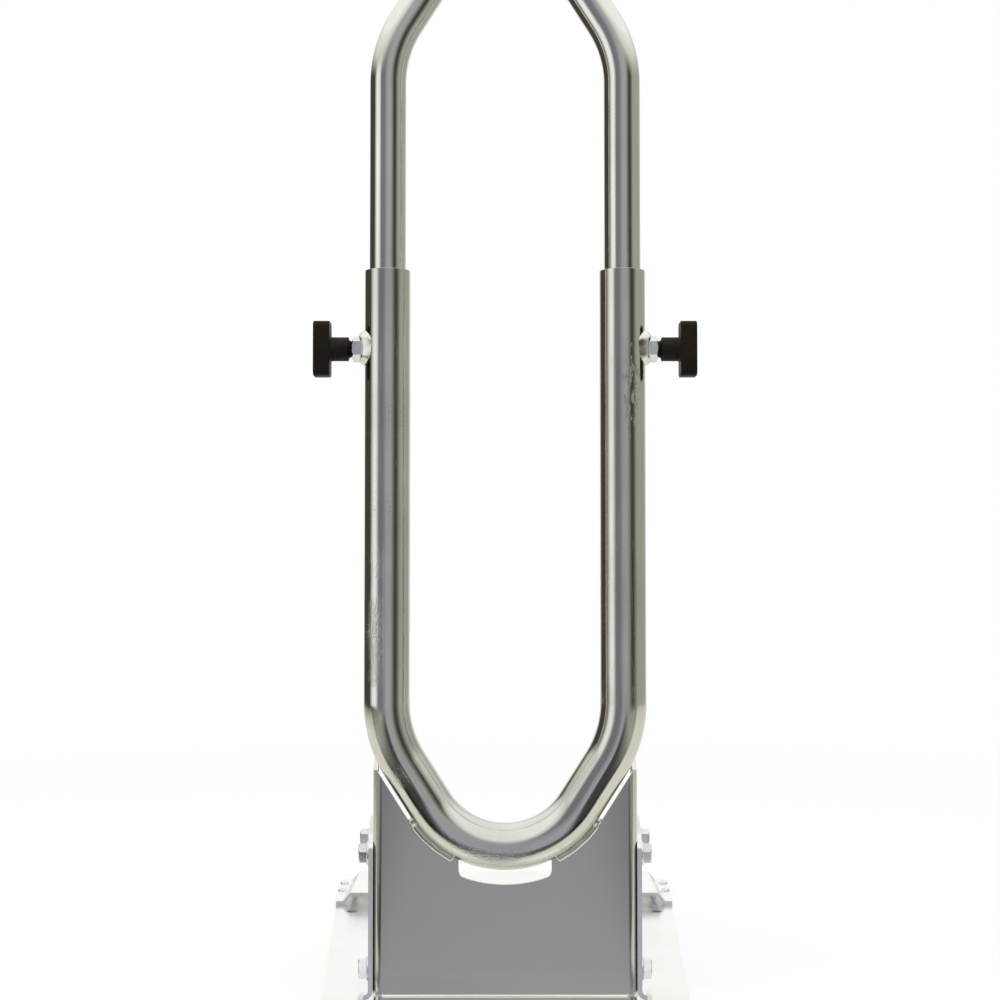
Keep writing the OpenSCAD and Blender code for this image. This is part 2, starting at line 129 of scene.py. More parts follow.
def scratch_group():
    """Thin scuffs from handling: 1 on a scratch, 0 elsewhere."""
    group, given, result = effect_group(
        "Handling scratches", [("Vector", None), ("Scale", 40.0), ("Share", 0.5)], ["Scratch"]
    )
    turned = put(
        group, "Mapping",
        {"Vector": given.outputs[0], "Rotation": (0.4, 0.9, 0.5), "Scale": (9.0, 9.0, 0.7)},
    )
    waves = put(
        group, "TexNoise",
        {"Vector": turned.outputs[0], "Scale": given.outputs[1], "Detail": 1.0, "Distortion": 0.3},
    )
    middle = put(group, "Math", {0: waves.outputs["Fac"], 1: 0.5}, operation="SUBTRACT")
    apart = put(group, "Math", {0: middle.outputs[0]}, operation="ABSOLUTE")
    line = put(group, "MapRange", {0: apart.outputs[0], 1: 0.004, 2: 0.0, 3: 0.0, 4: 1.0})
    places = put(group, "TexNoise", {"Vector": given.outputs[0], "Scale": given.outputs[1], "Detail": 0.0})
    shown = put(group, "Math", {0: places.outputs["Fac"], 1: given.outputs[2]}, operation="GREATER_THAN")
    kept = put(group, "Math", {0: line.outputs[0], 1: shown.outputs[0]}, operation="MULTIPLY")
    group.links.new(kept.outputs[0], result.inputs[0])
    return group


drawn_grain = drawn_grain_group()
plating_clouds = cloud_group()
plating_specks = pits_group()
handling_scratches = scratch_group()


def empty_material(name):
    """A material with one Principled shader, and its node tree."""
    material = bpy.data.materials.new(name)
    material.use_nodes = True
    tree = material.node_tree
    return material, tree, tree.nodes["Principled BSDF"]


def blend_colours(tree, share, first, second):
    """Mixes two colours, given as values or sockets, and returns the socket of the result."""
    mixed = put(tree, "Mix", {0: share, 6: first, 7: second}, data_type="RGBA")
    return mixed.outputs[2]


def plated_steel(name, colour, tint, roughness, cloud_scale, grain, specks, scratches, attribute=None):
    """Zinc plated steel. colour and tint are the two ends of its clouds, roughness is its
    lowest and highest, grain is lines per metre, length, depth and strength of tone, specks
    is scale, size, patches and depth, and scratches is scale, share and depth."""
    material, tree, shader = empty_material(name)
    if attribute:
        where = put(tree, "Attribute", attribute_name=attribute).outputs["Vector"]
    else:
        where = put(tree, "TexCoord").outputs["Object"]
    lines = grouped(tree, drawn_grain, [where, grain[0], grain[1]])
    clouds = grouped(tree, plating_clouds, [where, cloud_scale])
    speck = grouped(tree, plating_specks, [where, specks[0], specks[1], specks[2]])
    scratch = grouped(tree, handling_scratches, [where, scratches[0], scratches[1]])
    clouded = blend_colours(tree, clouds, colour + (1.0,), tint + (1.0,))
    lined = put(tree, "MapRange", {0: lines, 1: 0.25, 2: 0.75, 3: 1 - grain[3], 4: 1 + grain[3] / 2})
    shaded = put(tree, "VectorMath", {0: clouded, 3: lined.outputs[0]}, operation="SCALE")
    specked = put(tree, "Math", {0: speck, 1: 0.55}, operation="MULTIPLY")
    dull = tuple(0.45 * part for part in colour) + (1.0,)
    tree.links.new(
        blend_colours(tree, specked.outputs[0], shaded.outputs[0], dull), shader.inputs["Base Color"]
    )
    rough = put(tree, "MapRange", {0: clouds, 1: 0.0, 2: 1.0, 3: roughness[0], 4: roughness[1]})
    scuffed = put(tree, "Math", {0: scratch, 1: 0.18, 2: rough.outputs[0]}, operation="MULTIPLY_ADD")
    tree.links.new(scuffed.outputs[0], shader.inputs["Roughness"])
    shader.inputs["Metallic"].default_value = 1.0
    grain_height = put(tree, "Math", {0: lines, 1: grain[2]}, operation="MULTIPLY")
    speck_height = put(
        tree, "Math", {0: speck, 1: -specks[3], 2: grain_height.outputs[0]}, operation="MULTIPLY_ADD"
    )
    height = put(
        tree, "Math", {0: scratch, 1: -scratches[2], 2: speck_height.outputs[0]},
        operation="MULTIPLY_ADD",
    )
    bump = put(tree, "Bump", {"Height": height.outputs[0], "Strength": 1.0, "Distance": 0.001})
    tree.links.new(bump.outputs[0], shader.inputs["Normal"])
    return material, tree, shader


def grouped(tree, group, values):
    """Places a node group with its input values and returns its first output."""
    node = tree.nodes.new("ShaderNodeGroup")
    node.node_tree = group
    for socket, value in zip(node.inputs, values):
        if isinstance(value, bpy.types.NodeSocket):
            tree.links.new(value, socket)
        else:
            socket.default_value = value
    return node.outputs[0]


def finish_piece(name, builder, body, nodes, materials, place=Matrix.Identity(4), crease=32):
    """Turns a bmesh drawn in millimetres into a piece that stands for CAD nodes."""
    builder.transform(to_metres @ place)
    bmesh.ops.recalc_face_normals(builder, faces=builder.faces)
    mesh = bpy.data.meshes.new(name)
    builder.to_mesh(mesh)
    builder.free()
    for material in materials:
        mesh.materials.append(material)
    mesh.shade_smooth()
    mesh.set_sharp_from_angle(angle=math.radians(crease))
    piece = bpy.data.objects.new(name, mesh)
    scene.collection.objects.link(piece)
    weights = piece.modifiers.new("Flat faces stay flat", "WEIGHTED_NORMAL")
    weights.keep_sharp = True
    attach(piece, body)
    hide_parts(*nodes)
    return piece


def folded_sheet(name, node, face_material, edge_material, width=eased_edge):
    """A CAD sheet part again, with its edges eased and its sheared edges in their own finish."""
    builder = bmesh.new()
    builder.from_mesh(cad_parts[node].data)
    builder.transform(Matrix.Scale(1000, 4))
    bmesh.ops.remove_doubles(builder, verts=builder.verts, dist=0.002)
    bmesh.ops.dissolve_limit(
        builder, angle_limit=math.radians(1.0), verts=builder.verts, edges=builder.edges
    )
    sharp = [
        edge for edge in builder.edges
        if len(edge.link_faces) == 2 and edge.calc_face_angle() > math.radians(40)
    ]
    bmesh.ops.bevel(
        builder, geom=sharp, offset=width, offset_type="OFFSET", segments=2, profile=0.5,
        affect="EDGES", material=1, clamp_overlap=True,
    )
    return finish_piece(name, builder, "base", [node], [face_material, edge_material], crease=50)


satin_sheet, satin_tree, satin_shader = plated_steel(
    "Satin zinc sheet", (0.66, 0.66, 0.62), (0.70, 0.685, 0.64), (0.17, 0.20), 9.0,
    (1800.0, 0.05, 0.0008, 0.015), (700.0, 0.0, 40.0, 0.0), (30.0, 1.0, 0.0),
)
# Below this height the top of the toe is painted near white: a painted highlight where the flat toe faces the
# overhead light.
toe_top = 0.0022
satin_where = put(satin_tree, "TexCoord").outputs["Object"]
satin_height = put(satin_tree, "SeparateXYZ", {0: satin_where}).outputs["Z"]
toe_highlight_share = put(satin_tree, "MapRange", {0: satin_height, 1: toe_top, 2: toe_top + 0.0006, 3: 1.0, 4: 0.0})
plain_satin = satin_shader.inputs["Base Color"].links[0].from_socket
satin_tree.links.new(
    blend_colours(satin_tree, toe_highlight_share.outputs[0], plain_satin, (0.96, 0.96, 0.92, 1)),
    satin_shader.inputs["Base Color"],
)
sheared_edge = plated_steel(
    "Sheared zinc edge", (0.80, 0.79, 0.79), (0.88, 0.87, 0.86), (0.22, 0.32), 60.0,
    (2200.0, 0.2, 0.02, 0.06), (900.0, 0.08, 80.0, 0.01), (60.0, 0.6, 0.008),
)[0]
folded_sheet("folded_front_plate", "front_plate", satin_sheet, sheared_edge)


# Side plates with their feet
# Two folded strips of 2 mm steel sheet, bright zinc plated, bolted to the flanges of the
# front plate and splayed to the rear. Each wall leans on a foot with one floor hole.
bright_sheet = plated_steel(
    "Bright zinc sheet", (0.97, 0.975, 0.955), (0.95, 0.955, 0.935), (0.18, 0.24), 22.0,
    (1800.0, 0.06, 0.004, 0.03), (600.0, 0.10, 30.0, 0.006), (26.0, 0.58, 0.006),
)[0]
for side in ("left", "right"):
    folded_sheet(
        "folded_" + side + "_side_plate", side + "_side_plate", bright_sheet, sheared_edge
    )


# Rear tie plate and its rivets
# A sheet strip pressed up in the middle so that its ends lie on the two feet. Two dome
# head steel rivets on each side close it to the foot below.
# The tie plate's cut edges are painted dark: painted shade that draws the shadow line along its front edge.
shaded_tie_edge = plated_steel(
    "Tie plate edge with painted shade", (0.46, 0.46, 0.42), (0.56, 0.55, 0.51), (0.3, 0.4), 60.0,
    (2200.0, 0.2, 0.02, 0.06), (900.0, 0.08, 80.0, 0.01), (60.0, 0.6, 0.008),
)[0]
folded_sheet("joggled_tie_plate", "rear_tie_plate", bright_sheet, shaded_tie_edge)
hoop_y = -106.0
bend_x = 53.0
bend_y = 3.0
bend_out = 4.0
splay = math.radians(3.8)
foot_width = 22.0
foot_end = 240.0
rivet_insets = (12.0, 32.0)
tie_strip_x = 87.0
rivet_profile = [
    (0, 0.2), (1.5, 0.2), (1.5, 3.95), (2.35, 3.95), (2.5, 4.15), (2.42, 4.5), (2.1, 4.85),
    (1.5, 5.1), (0.8, 5.19), (0, 5.2),
]
mirror_left = {"left": Matrix.Scale(-1, 4, (1, 0, 0)), "right": Matrix.Identity(4)}


def turn(builder, profile, place=Matrix.Identity(4), steps=48, closed=False, across_flats=None):
    """Spins a profile of (radius, height) points about Z. Across flats cuts it to a hexagon."""
    before = set(builder.verts)
    points = [builder.verts.new((radius, 0, height)) for radius, height in profile]
    pairs = list(zip(points, points[1:]))
    if closed:
        pairs.append((points[-1], points[0]))
    lines = [builder.edges.new(pair) for pair in pairs]
    bmesh.ops.spin(
        builder, geom=points + lines, cent=(0, 0, 0), axis=(0, 0, 1), angle=2 * math.pi,
        steps=steps, use_merge=True,
    )
    made = [vert for vert in builder.verts if vert not in before]
    bmesh.ops.remove_doubles(builder, verts=made, dist=0.0005)
    made = [vert for vert in builder.verts if vert not in before]
    if across_flats:
        for vert in made:
            radius = math.hypot(vert.co.x, vert.co.y)
            if radius < 0.3 * across_flats:
                continue
            turn_angle = math.atan2(vert.co.y, vert.co.x) % (math.pi / 3) - math.pi / 6
            flat = across_flats / 2 / math.cos(turn_angle)
            if radius > flat:
                vert.co.x *= flat / radius
                vert.co.y *= flat / radius
    bmesh.ops.transform(builder, matrix=place, verts=made)
    return made


fastener_zinc = plated_steel(
    "Bright zinc fastener", (0.78, 0.81, 0.85), (0.88, 0.89, 0.90), (0.16, 0.28), 160.0,
    (5000.0, 0.3, 0.015, 0.08), (2400.0, 0.16, 200.0, 0.012), (140.0, 0.55, 0.008),
)[0]
rivets = bmesh.new()
for side in ("left", "right"):
    for inset in rivet_insets:
        depth = foot_end - inset
        foot_edge = bend_x + (bend_out + foot_width) / math.cos(splay) + (depth - bend_y) * math.tan(splay)
        spot = Matrix.Translation(((tie_strip_x + foot_edge) / 2, depth + hoop_y, 0))
        turn(rivets, rivet_profile, mirror_left[side] @ spot, 32)
finish_piece("dome_rivets", rivets, "base", ["tie_rivets"], [fastener_zinc])


# Lower hoop
# Bright zinc plated steel tube, 20 mm outside, bent to a narrow U and open at both tops.
# The plating shows drawing lines, pinholes and, by the right clamp, a few runs of zinc.
lower_tube_r = 10.0
lower_bore_r = 8.5
hoop_arc_r = 38.0
leg_bend_r = 50.0
leg_x = 51.0
leg_bend = 2 * math.atan2(7, 24)
bend_in = leg_bend_r * (1 - math.cos(leg_bend))
slant_len = (leg_x - bend_in - hoop_arc_r * math.cos(leg_bend)) / math.sin(leg_bend)
arc_sweep = math.pi / 2 - leg_bend
lower_arc_z = 103.5
rim_z = 314.0
slant_start = Vector((hoop_arc_r * math.cos(leg_bend), -hoop_arc_r * math.sin(leg_bend)))
slant_way = Vector((math.sin(leg_bend), math.cos(leg_bend)))
slant_out = Vector((math.cos(leg_bend), -math.sin(leg_bend)))
bend_middle = slant_start + slant_way * slant_len - slant_out * leg_bend_r


def place_on_straight_tube(point):
    """Where a point of a bent hoop lay before bending: across, through and along the tube."""
    flat = Vector((abs(point.x), point.z))
    turned = math.atan2(flat.x, -flat.y)
    along = hoop_arc_r * arc_sweep
    past_arc = (flat - slant_start).dot(slant_way)
    if turned < arc_sweep and past_arc < 0:
        out = flat.length - hoop_arc_r
        along = hoop_arc_r * turned
    elif past_arc < slant_len:
        out = (flat - slant_start).dot(slant_out)
        along += past_arc
    elif flat.y < bend_middle.y:
        from_middle = flat - bend_middle
        out = from_middle.length - leg_bend_r
        along += slant_len + leg_bend_r * (leg_bend - math.atan2(-from_middle.y, from_middle.x))
    else:
        out = flat.x - leg_x
        along += slant_len + leg_bend_r * leg_bend + flat.y - bend_middle.y
    return Vector((out, point.y, math.copysign(along, point.x)))


def bend_hoop(outer_r, bore_r, leg_top, around=72):
    """A bent tube hoop about the centre of its arc, in millimetres, open at both leg tops."""
    builder = bmesh.new()
    start = Matrix.Translation((0, 0, -hoop_arc_r)) @ Matrix.Rotation(math.pi / 2, 4, "Y")
    for radius in (outer_r, bore_r):
        bmesh.ops.create_circle(builder, segments=around, radius=radius, matrix=start)
    front = list(builder.edges)

    def swing(edges, centre, angle, steps):
        corners = list({vert for edge in edges for vert in edge.verts})
        swung = bmesh.ops.spin(
            builder, geom=corners + edges, cent=(centre[0], 0, centre[1]), axis=(0, 1, 0),
            angle=angle, steps=steps, use_merge=False,
        )
        return [item for item in swung["geom_last"] if isinstance(item, bmesh.types.BMEdge)]

    def pull(edges, way, steps):
        for _ in range(steps):
            made = bmesh.ops.extrude_edge_only(builder, edges=edges)["geom"]
            moved = [item for item in made if isinstance(item, bmesh.types.BMVert)]
            bmesh.ops.translate(builder, vec=(way[0] / steps, 0, way[1] / steps), verts=moved)
            edges = [item for item in made if isinstance(item, bmesh.types.BMEdge)]
            edges = [edge for edge in edges if all(vert in moved for vert in edge.verts)]
        return edges

    front = swing(front, (0, 0), -arc_sweep, 24)
    front = pull(front, slant_way * slant_len, 2)
    front = swing(front, bend_middle, -leg_bend, 14)
    pull(front, (0, leg_top - bend_middle.y), 8)
    bmesh.ops.mirror(
        builder, geom=list(builder.verts) + list(builder.edges) + list(builder.faces),
        axis="X", merge_dist=0.001,
    )
    bmesh.ops.remove_doubles(builder, verts=builder.verts, dist=0.001)
    for way in (-1, 1):
        rim = [
            edge for edge in builder.edges
            if edge.is_boundary and edge.verts[0].co.x * way > 0
        ]
        bmesh.ops.bridge_loops(builder, edges=rim)
    bmesh.ops.recalc_face_normals(builder, faces=builder.faces)
    corners = [edge for edge in builder.edges if edge.calc_face_angle(0) > math.radians(60)]
    bmesh.ops.bevel(
        builder, geom=corners, offset=0.22, offset_type="OFFSET", segments=2, profile=0.5,
        affect="EDGES", material=-1,
    )
    return builder


def store_straight_tube(piece, turn_over, arc_z):
    """Keeps each point's place on the straight tube as an attribute for the drawn lines."""
    layer = piece.data.attributes.new("straight_tube", "FLOAT_VECTOR", "POINT")
    for vert, stored in zip(piece.data.vertices, layer.data):
        local = Vector((
            vert.co.x * 1000, vert.co.y * 1000 - hoop_y, turn_over * (vert.co.z * 1000 - arc_z)
        ))
        stored.vector = place_on_straight_tube(local) / 1000


lower_zinc, lower_tree, lower_shader = plated_steel(
    "Drawn zinc tube", (0.80, 0.79, 0.75), (0.72, 0.71, 0.675), (0.07, 0.13), 26.0,
    (2200.0, 0.012, 0.015, 0.08), (900.0, 0.22, 40.0, 0.02), (36.0, 0.60, 0.008),
    attribute="straight_tube",
)
seam_from, seam_to = 0.0018, 0.0078
seam_edge = 0.0012
tube_place = put(lower_tree, "Attribute", attribute_name="straight_tube").outputs["Vector"]
tube_parts = put(lower_tree, "SeparateXYZ", {0: tube_place})
seam_in = put(
    lower_tree, "MapRange", {0: tube_parts.outputs["X"], 1: seam_from - seam_edge, 2: seam_from},
    interpolation_type="SMOOTHSTEP",
)
seam_out = put(
    lower_tree, "MapRange", {0: tube_parts.outputs["X"], 1: seam_to, 2: seam_to + seam_edge, 3: 1.0, 4: 0.0},
    interpolation_type="SMOOTHSTEP",
)
seam_front = put(lower_tree, "Math", {0: tube_parts.outputs["Y"], 1: 0.0}, operation="LESS_THAN")
seam_width = put(lower_tree, "Math", {0: seam_in.outputs[0], 1: seam_out.outputs[0]}, operation="MULTIPLY")
seam = put(lower_tree, "Math", {0: seam_width.outputs[0], 1: seam_front.outputs[0]}, operation="MULTIPLY")
seam_patches = put(lower_tree, "TexNoise", {"Vector": tube_place, "Scale": 28.0, "Detail": 2.0})
seam_rough = put(lower_tree, "MapRange", {0: seam_patches.outputs["Fac"], 1: 0.38, 2: 0.60})
seam_middle = -0.07
seam_along = put(lower_tree, "Math", {0: tube_parts.outputs["Z"], 1: -seam_middle}, operation="ADD")
seam_apart = put(lower_tree, "Math", {0: seam_along.outputs[0]}, operation="ABSOLUTE")
seam_low = put(
    lower_tree, "MapRange", {0: seam_apart.outputs[0], 1: 0.065, 2: 0.090, 3: 0.8, 4: 0.0},
    interpolation_type="SMOOTHSTEP",
)
seam_kept = put(lower_tree, "Math", {0: seam.outputs[0], 1: seam_low.outputs[0]}, operation="MULTIPLY")
seam_amount = put(
    lower_tree, "Math", {0: seam_kept.outputs[0], 1: seam_rough.outputs[0]}, operation="MULTIPLY"
)
seam_grain = put(lower_tree, "TexNoise", {"Vector": tube_place, "Scale": 1500.0, "Detail": 2.0})
seam_height = put(
    lower_tree, "Math", {0: seam_grain.outputs["Fac"], 1: seam_amount.outputs[0]}, operation="MULTIPLY"
)
run_middle = (0.0540, -0.1142, 0.262)
run_reach = (0.0040, 0.006, 0.022)
run_where = put(lower_tree, "TexCoord").outputs["Object"]
run_place = put(
    lower_tree, "Mapping",
    {"Vector": run_where, "Location": run_middle, "Scale": run_reach}, vector_type="TEXTURE",
)
run_distance = put(lower_tree, "VectorMath", {0: run_place.outputs[0]}, operation="LENGTH")
run_area = put(
    lower_tree, "MapRange", {0: run_distance.outputs["Value"], 1: 0.6, 2: 1.1, 3: 1.0, 4: 0.0},
    interpolation_type="SMOOTHSTEP",
)
run_lean = put(
    lower_tree, "Mapping", {"Vector": run_where, "Rotation": (0, 0.3, 0), "Scale": (1.0, 0.4, 0.22)}
)
run_noise = put(lower_tree, "TexNoise", {"Vector": run_lean.outputs[0], "Scale": 900.0, "Detail": 2.0})
run_beads = put(
    lower_tree, "MapRange", {0: run_noise.outputs["Fac"], 1: 0.52, 2: 0.66}, interpolation_type="SMOOTHSTEP"
)
runs = put(lower_tree, "Math", {0: run_beads.outputs[0], 1: run_area.outputs[0]}, operation="MULTIPLY")
both_heights = put(
    lower_tree, "Math", {0: runs.outputs[0], 1: 0.25, 2: seam_height.outputs[0]}, operation="MULTIPLY_ADD"
)
plain_bump = lower_shader.inputs["Normal"].links[0].from_node
relief_bump = put(
    lower_tree, "Bump",
    {"Height": both_heights.outputs[0], "Strength": 1.0, "Distance": 0.0004, "Normal": plain_bump.outputs[0]},
)
lower_tree.links.new(relief_bump.outputs[0], lower_shader.inputs["Normal"])
lower_hoop = finish_piece(
    "bent_lower_hoop", bend_hoop(lower_tube_r, lower_bore_r, rim_z - lower_arc_z), "base",
    ["lower_hoop"], [lower_zinc], Matrix.Translation((0, hoop_y, lower_arc_z)),
)
store_straight_tube(lower_hoop, 1, lower_arc_z)


# Welds between the hoop and the front plate
# Four short beads laid front and rear in the notch, left and right of the slot, plated
# with the rest. They are smooth, swell a little along their run and end in a small crater.
weld_metal = plated_steel(
    "Plated weld", (0.74, 0.72, 0.64), (0.88, 0.87, 0.80), (0.20, 0.30), 200.0,
    (900.0, 0.8, 0.01, 0.04), (900.0, 0.05, 120.0, 0.01), (120.0, 0.7, 0.004),
)[0]
bead_r = 2.2
slot_half_w = 20
weld_ring_r = 48.44
weld_off_middle = 1.44
bead_start = math.asin(slot_half_w / (hoop_arc_r + lower_tube_r)) + math.radians(2)
wave_count = 3.5
crater_depth = 0.35
hoop_beads = bmesh.new()
for side in ("left", "right"):
    for face in (-1, 1):
        before = set(hoop_beads.verts)
        middle = Vector((0, face * weld_off_middle, -weld_ring_r))
        ring = bmesh.ops.create_circle(
            hoop_beads, segments=16, radius=bead_r,
            matrix=Matrix.Translation(middle) @ Matrix.Rotation(math.pi / 2, 4, "Y"),
        )["verts"]
        bmesh.ops.rotate(
            hoop_beads, verts=ring, cent=(0, 0, 0), matrix=Matrix.Rotation(-bead_start, 3, "Y")
        )
        edges = list({edge for vert in ring for edge in vert.link_edges})
        bmesh.ops.spin(
            hoop_beads, geom=ring + edges, cent=(0, 0, 0), axis=(0, 1, 0),
            angle=-(math.pi / 2 - leg_bend - bead_start), steps=96, use_merge=False,
        )
        made = [vert for vert in hoop_beads.verts if vert not in before]
        for vert in made:
            turned = math.atan2(vert.co.x, -vert.co.z)
            share = (turned - bead_start) / (math.pi / 2 - leg_bend - bead_start)
            core = Vector((
                math.sin(turned) * weld_ring_r, face * weld_off_middle, -math.cos(turned) * weld_ring_r
            ))
            wave = 0.015 * math.sin(share * 2 * math.pi * wave_count)
            lump = noise.noise(vert.co * 0.25) * 0.03
            crater = crater_depth * math.exp(-((1 - share) / 0.05 - 1.6) ** 2)
            end = min(1, math.sqrt(max(0, 14 * min(share, 1 - share))) + 0.15)
            vert.co = core + (vert.co - core) * ((0.92 + wave + lump) * end - crater)
        bmesh.ops.holes_fill(
            hoop_beads, edges=[edge for edge in hoop_beads.edges if edge.is_boundary], sides=0
        )
        made = [vert for vert in hoop_beads.verts if vert not in before]
        bmesh.ops.transform(hoop_beads, matrix=mirror_left[side], verts=made)
finish_piece(
    "hoop_welds", hoop_beads, "base", ["hoop_weld_beads"], [weld_metal],
    Matrix.Translation((0, hoop_y, lower_arc_z)), 60,
)


# Welded nuts and their weld beads
# A hexagon nut stands on the outside of each lower leg, held by a ring of weld that fills
# the space down to the round of the tube. The beads are lumpy and brighter than the tube.
clamp_z = 280.0
nut_at = 10.2
nut_flats = 10.0
nut_h = 5.0
nut_corner_r = nut_flats / 2 / math.cos(math.pi / 6)
clamp_place = {
    side: mirror_left[side] @ Matrix.Translation((leg_x, hoop_y, clamp_z))
    @ Matrix.Rotation(math.pi / 2, 4, "Y")
    for side in ("left", "right")
}


def chamfer(corner_r, inner_r, from_z, to_z, steps=5):
    """Points down the cone that is turned on the corners of a nut or a bolt head."""
    return [
        (corner_r + (inner_r - corner_r) * step / steps, from_z + (to_z - from_z) * step / steps)
        for step in range(steps + 1)
    ]


for side in ("left", "right"):
    nut = bmesh.new()
    top = nut_at + nut_h
    turn(
        nut,
        [(3.05, nut_at + 0.4), (3.5, nut_at), (nut_corner_r, nut_at)]
        + chamfer(nut_corner_r, nut_flats / 2 - 0.15, top - 0.75, top)
        + [(3.6, top), (3.05, top - 0.45)],
        Matrix.Identity(4), 72, True, nut_flats,
    )
    finish_piece(
        side + "_welded_nut", nut, "base", [side + "_weld_nut"], [fastener_zinc],
        clamp_place[side],
    )

nut_welds = bmesh.new()
for side in ("left", "right"):
    ring = turn(
        nut_welds,
        [(3.6, -1.2), (3.6, 1.1), (4.9, 2.4), (5.5, 2.5), (6.0, 2.35), (6.5, 1.95), (7.0, 1.4), (7.6, 0.6),
         (8.1, -0.2), (8.2, -0.8), (7.6, -1.2)],
        Matrix.Identity(4), 96, True,
    )
    for vert in ring:
        turned = math.atan2(vert.co.y, vert.co.x)
        lump = noise.noise(Vector((math.cos(turned) * 1.5, math.sin(turned) * 1.5, 0.4)))
        swell = 1 + 0.12 * lump * min(1, max(0, vert.co.z + 1.0))
        vert.co.x *= swell
        vert.co.y *= swell
        vert.co.z += 0.45 * lump * min(1, max(0, vert.co.z))
        drop = lower_tube_r - math.sqrt(lower_tube_r ** 2 - min(vert.co.y ** 2, 90.0))
        vert.co.z += lower_tube_r - drop
    bmesh.ops.transform(nut_welds, matrix=clamp_place[side], verts=ring)
nut_weld_metal = plated_steel(
    "Bright plated weld", (0.82, 0.81, 0.76), (0.92, 0.92, 0.90), (0.16, 0.28), 320.0,
    (900.0, 0.8, 0.01, 0.04), (1200.0, 0.08, 160.0, 0.02), (160.0, 0.7, 0.004),
)[0]
finish_piece("nut_welds", nut_welds, "base", ["nut_weld_beads"], [nut_weld_metal], crease=60)


# Upper hoop
# A smaller tube, 16 mm outside, bent on the same former and put upside down into the lower
# legs. It is polished and bright plated, with fine lines and a few slide marks.
upper_tube_r = 8.0
upper_bore_r = 6.5
upper_arc_z = 420.5
upper_leg_end_z = 219.0
upper_zinc = plated_steel(
    "Polished zinc tube", (0.86, 0.85, 0.815), (0.80, 0.79, 0.75), (0.035, 0.075), 20.0,
    (2400.0, 0.008, 0.008, 0.1), (800.0, 0.16, 30.0, 0.012), (34.0, 0.58, 0.006),
    attribute="straight_tube",
)[0]
upside_down = Matrix.Translation((0, hoop_y, upper_arc_z)) @ Matrix.Scale(-1, 4, (0, 0, 1))
upper_hoop = finish_piece(
    "bent_upper_hoop", bend_hoop(upper_tube_r, upper_bore_r, upper_arc_z - upper_leg_end_z),
    "sliding_hoop", ["upper_hoop"], [upper_zinc], upside_down,
)
store_straight_tube(upper_hoop, -1, upper_arc_z)


# Clamp screws
# A 6 mm threaded rod runs from just off the upper tube, through the wall of the lower tube
# and the welded nut, into the knob that is moulded on its end.
screw_tip = 8.1
hub_at = 16.9
screw_end = 28.9
thread_pitch = 1.0


def thread_ridges(major_r, minor_r, start, end, pitch):
    """Profile points of a rolled thread between two heights."""
    points = []
    height = start
    while height + pitch <= end:
        points += [(minor_r, height), (minor_r, height + 0.18 * pitch), (major_r, height + 0.46 * pitch),
                   (major_r, height + 0.62 * pitch)]
        height += pitch
    return points


for side in ("left", "right"):
    screw = bmesh.new()
    turn(
        screw,
        [(0, screw_tip), (2.2, screw_tip)]
        + thread_ridges(3.0, 2.45, screw_tip + 0.4, screw_end - 0.2, thread_pitch)
        + [(2.45, screw_end), (0, screw_end)],
        Matrix.Identity(4), 40,
    )
    finish_piece(
        side + "_threaded_rod", screw, side + "_screw", [side + "_clamp_screw"],
        [fastener_zinc], clamp_place[side],
    )


# Knobs
# Black plastic, moulded round the end of each screw: a flat crossbar on a short round hub,
# and a small cone towards the nut. The moulding is matt, with a fine spark texture.
hub_r = 5.2
bar_low = 24.9
bar_high = 32.0
bar_half_len = 12.0
bar_half_w = 5.5
bar_corner_r = 2.5
bar_edge_r = 0.5
screw_hole_r = 3.05


def round_corner(centre_x, centre_y, radius, start, end, steps=6):
    """Points round a corner, with its angles in degrees."""
    return [
        (centre_x + radius * math.cos(math.radians(start + (end - start) * step / steps)),
         centre_y + radius * math.sin(math.radians(start + (end - start) * step / steps)))
        for step in range(steps + 1)
    ]


knob_black, knob_tree, knob_shader = empty_material("Moulded black plastic")
knob_where = put(knob_tree, "TexCoord").outputs["Object"]
knob_tone = grouped(knob_tree, plating_clouds, [knob_where, 90.0])
knob_wear = grouped(knob_tree, handling_scratches, [knob_where, 90.0, 0.5])
knob_shade = blend_colours(knob_tree, knob_tone, (0.0065, 0.0042, 0.002, 1), (0.0105, 0.0072, 0.004, 1))
knob_tree.links.new(
    blend_colours(knob_tree, knob_wear, knob_shade, (0.026, 0.022, 0.018, 1)),
    knob_shader.inputs["Base Color"],
)
knob_shader.inputs["Specular IOR Level"].default_value = 0.2
knob_grain = put(knob_tree, "TexNoise", {"Vector": knob_where, "Scale": 4200.0, "Detail": 3.0})
knob_rough = put(knob_tree, "MapRange", {0: knob_tone, 1: 0.0, 2: 1.0, 3: 0.46, 4: 0.6})
knob_tree.links.new(knob_rough.outputs[0], knob_shader.inputs["Roughness"])
knob_bump = put(
    knob_tree, "Bump", {"Height": knob_grain.outputs["Fac"], "Strength": 0.5, "Distance": 0.0001}
)
knob_tree.links.new(knob_bump.outputs[0], knob_shader.inputs["Normal"])

